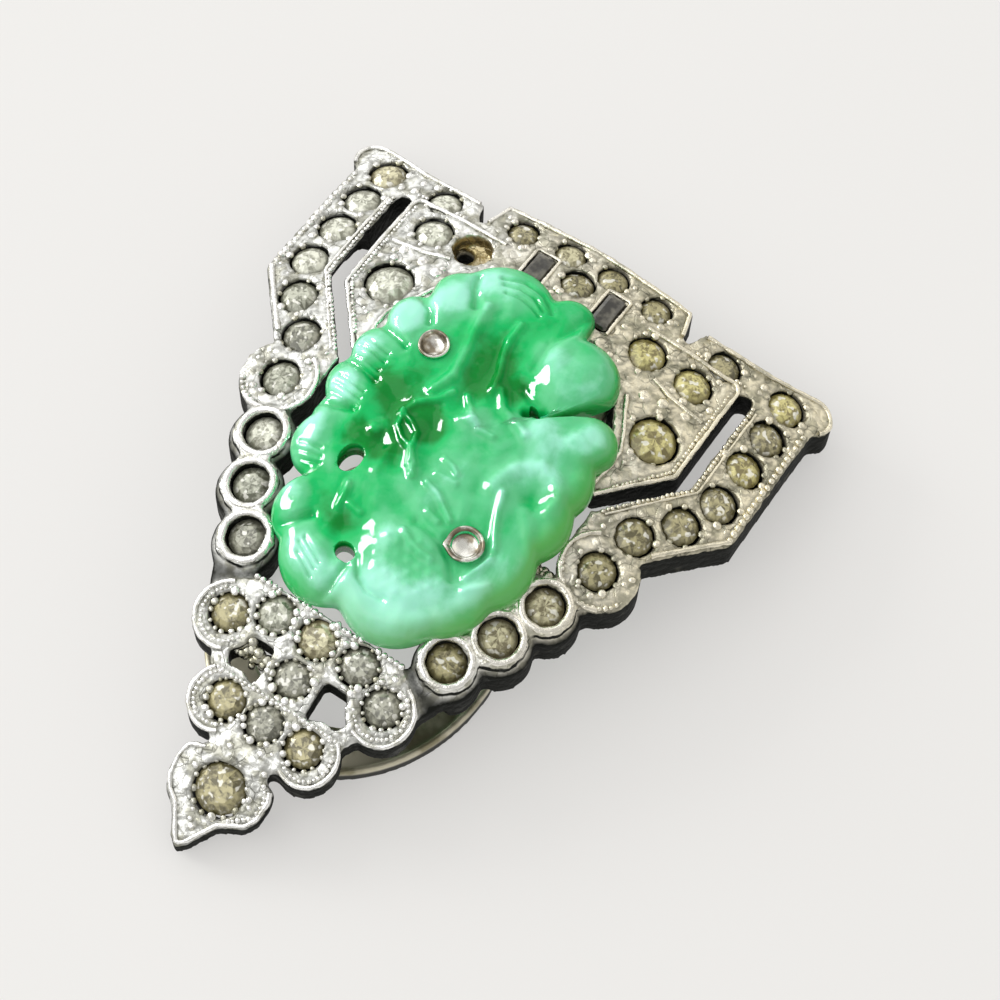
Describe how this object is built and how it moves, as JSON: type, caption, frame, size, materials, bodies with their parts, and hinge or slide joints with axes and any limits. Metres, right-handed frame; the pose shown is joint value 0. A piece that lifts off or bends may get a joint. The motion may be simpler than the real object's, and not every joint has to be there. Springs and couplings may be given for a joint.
{
  "type": "dress clip",
  "caption": "Shield-shaped dress clip: domed pierced casting set with round paste stones, a carved green glass plaque on two rivets, and a hinged back lever.",
  "frame": {"origin": "on the lever's flat back, on the plane that the clip rests on, under the middle of the plaque", "axes": "+Z out of the jewelled face, +Y from the pointed tip to the wide top, +X to the right seen from the front"},
  "size_m": [0.0394, 0.0503, 0.0122],
  "materials": {
    "cast_metal": "plated white-metal casting with a grainy beaded face, worn bright on top and blackened in its recesses and on its walls",
    "green_glass": "moulded cloudy green glass, very glossy, deep green in the middle and pale at the edges",
    "paste_stone": "clear cut glass over aged, yellowed foil",
    "dark_stone": "smoky dark cut glass",
    "rivet_metal": "bright tube rivet with a dirty eye",
    "lever_sheet": "plated sheet, olive-brown with age and shiny along its rim"
  },
  "bodies": {
    "front": {"frame": "cast_metal", "plaque": "green_glass", "rivet_upper": "rivet_metal", "rivet_lower": "rivet_metal", "hinge_pin": "lever_sheet", "stone_arm_left": "paste_stone", "stone_arm_right": "paste_stone", "stone_band_1_left": "paste_stone", "stone_band_1_right": "paste_stone", "stone_band_2_left": "paste_stone", "stone_band_2_right": "paste_stone", "stone_band_3_left": "paste_stone", "stone_band_3_right": "paste_stone", "stone_band_4_left": "paste_stone", "stone_band_4_right": "paste_stone", "stone_band_5_left": "paste_stone", "stone_band_5_right": "paste_stone", "stone_band_end_left": "paste_stone", "stone_band_end_right": "paste_stone", "stone_centre_drop": "paste_stone", "stone_centre_inner_left": "paste_stone", "stone_centre_inner_right": "paste_stone", "stone_centre_outer_left": "paste_stone", "stone_centre_outer_right": "paste_stone", "stone_corner_left": "paste_stone", "stone_corner_right": "paste_stone", "stone_inner_lobe_left": "paste_stone", "stone_inner_lobe_right": "paste_stone", "stone_leaf_left": "paste_stone", "stone_leaf_right": "paste_stone", "stone_lobe_left": "paste_stone", "stone_lobe_right": "paste_stone", "stone_ornament_low": "paste_stone", "stone_ornament_middle": "paste_stone", "stone_ornament_top": "paste_stone", "stone_panel_inner_right": "paste_stone", "stone_panel_large_left": "paste_stone", "stone_panel_large_right": "paste_stone", "stone_panel_top_left": "paste_stone", "stone_panel_top_right": "paste_stone", "stone_round_1_left": "paste_stone", "stone_round_1_right": "paste_stone", "stone_round_2_left": "paste_stone", "stone_round_2_right": "paste_stone", "stone_round_3_left": "paste_stone", "stone_round_3_right": "paste_stone", "stone_tip": "paste_stone", "baguette_left": "dark_stone", "baguette_right": "dark_stone"},
    "lever": {"lever": "lever_sheet"}
  },
  "joints": [
    {"name": "lever_hinge", "type": "hinge", "parent": "front", "child": "lever", "pos_m": [0, 0.01, 0.0031], "axis": [1, 0, 0], "range_deg": [0, 60], "stiffness_Nm_per_rad": 0.02, "springref_deg": -28.65}
  ]
}
